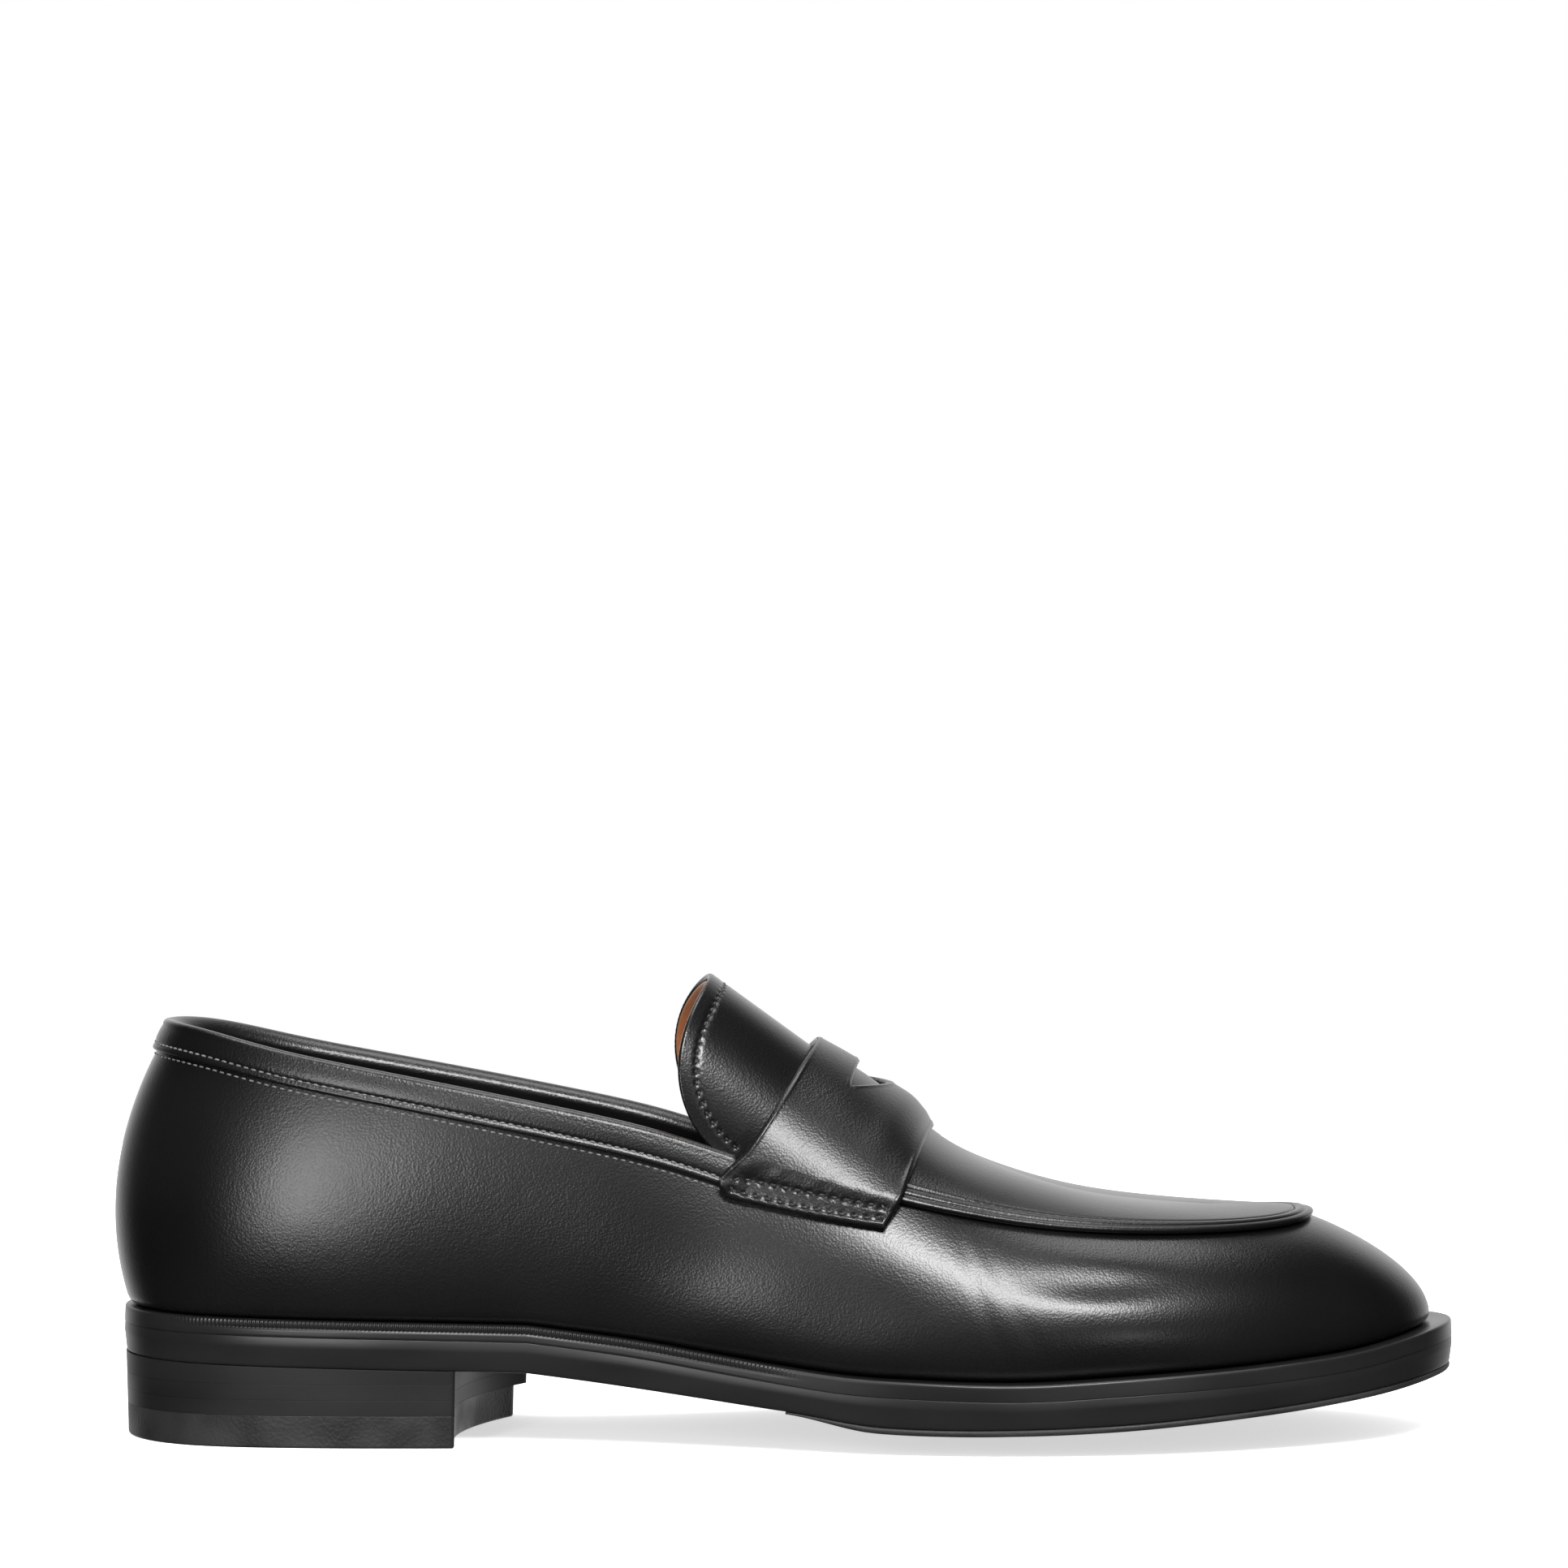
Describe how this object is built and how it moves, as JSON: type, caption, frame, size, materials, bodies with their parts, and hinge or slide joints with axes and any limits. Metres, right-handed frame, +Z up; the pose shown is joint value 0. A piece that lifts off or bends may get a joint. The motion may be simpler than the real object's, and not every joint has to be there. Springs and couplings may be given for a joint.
{
  "type": "penny loafer",
  "caption": "Right-foot dress loafer: moccasin apron, saddle strap with a lip-shaped slot, lifting tongue, welted sole with a thin rubber tread and a stacked heel.",
  "frame": {"origin": "middle of the shoe's bounding box, at ground level under the heel and the ball of the sole", "axes": "+X towards the toe, along the shoe's length; +Y towards the medial (inner) side; +Z up"},
  "size_m": [0.3042, 0.1046, 0.1038],
  "materials": {
    "wall_calf": "smooth black calf, polished to a satin gloss",
    "collar_calf": "smooth black calf, satin, folded over the top line",
    "apron_calf": "smooth black calf, satin gloss, dark cut edge",
    "strap_calf": "smooth black calf, satin gloss, burnished edge",
    "tongue_calf": "smooth black calf, satin",
    "tan_lining": "tan lining leather, matt",
    "black_lining": "black lining leather, matt",
    "sock_leather": "black sock leather, soft sheen",
    "stiffener_board": "moulded fibre stiffener, matt",
    "insole_leather": "veg tanned leather board, matt",
    "cork": "cork filling, matt",
    "foam": "soft foam",
    "spring_steel": "plain spring steel",
    "welt_leather": "black leather welt, waxed, wheel-marked on its top edge",
    "sole_edge_leather": "black leather, waxed and burnished edge",
    "tread_rubber": "thin black rubber tread, matt",
    "heel_rubber": "black rubber top piece, matt",
    "brass_pin": "plain brass"
  },
  "bodies": {
    "shoe": {"upper_wall": "wall_calf", "collar_band": "collar_calf", "apron": "apron_calf", "strap": "strap_calf", "vamp_lining": "black_lining", "quarter_lining": "black_lining", "heel_counter": "stiffener_board", "toe_puff": "stiffener_board", "outsole": "sole_edge_leather", "half_sole": "tread_rubber", "welt": "welt_leather", "cork_filler": "cork", "waist_filler": "insole_leather", "shank": "spring_steel", "insole_board": "insole_leather", "heel_pad": "foam", "sock": "sock_leather", "top_piece": "heel_rubber", "heel_lift_1": "sole_edge_leather", "heel_lift_2": "sole_edge_leather", "heel_lift_3": "sole_edge_leather", "heel_pin_1": "brass_pin", "heel_pin_2": "brass_pin", "heel_pin_3": "brass_pin", "heel_pin_4": "brass_pin", "heel_pin_5": "brass_pin"},
    "tongue": {"tongue": "tongue_calf", "tongue_lining": "tan_lining"}
  },
  "joints": [
    {"name": "tongue_lift", "type": "hinge", "parent": "shoe", "child": "tongue", "pos_m": [0.0059, -0.00025, 0.0876], "axis": [0, 1, 0], "range_deg": [-3, 30], "stiffness_Nm_per_rad": 0.3}
  ]
}
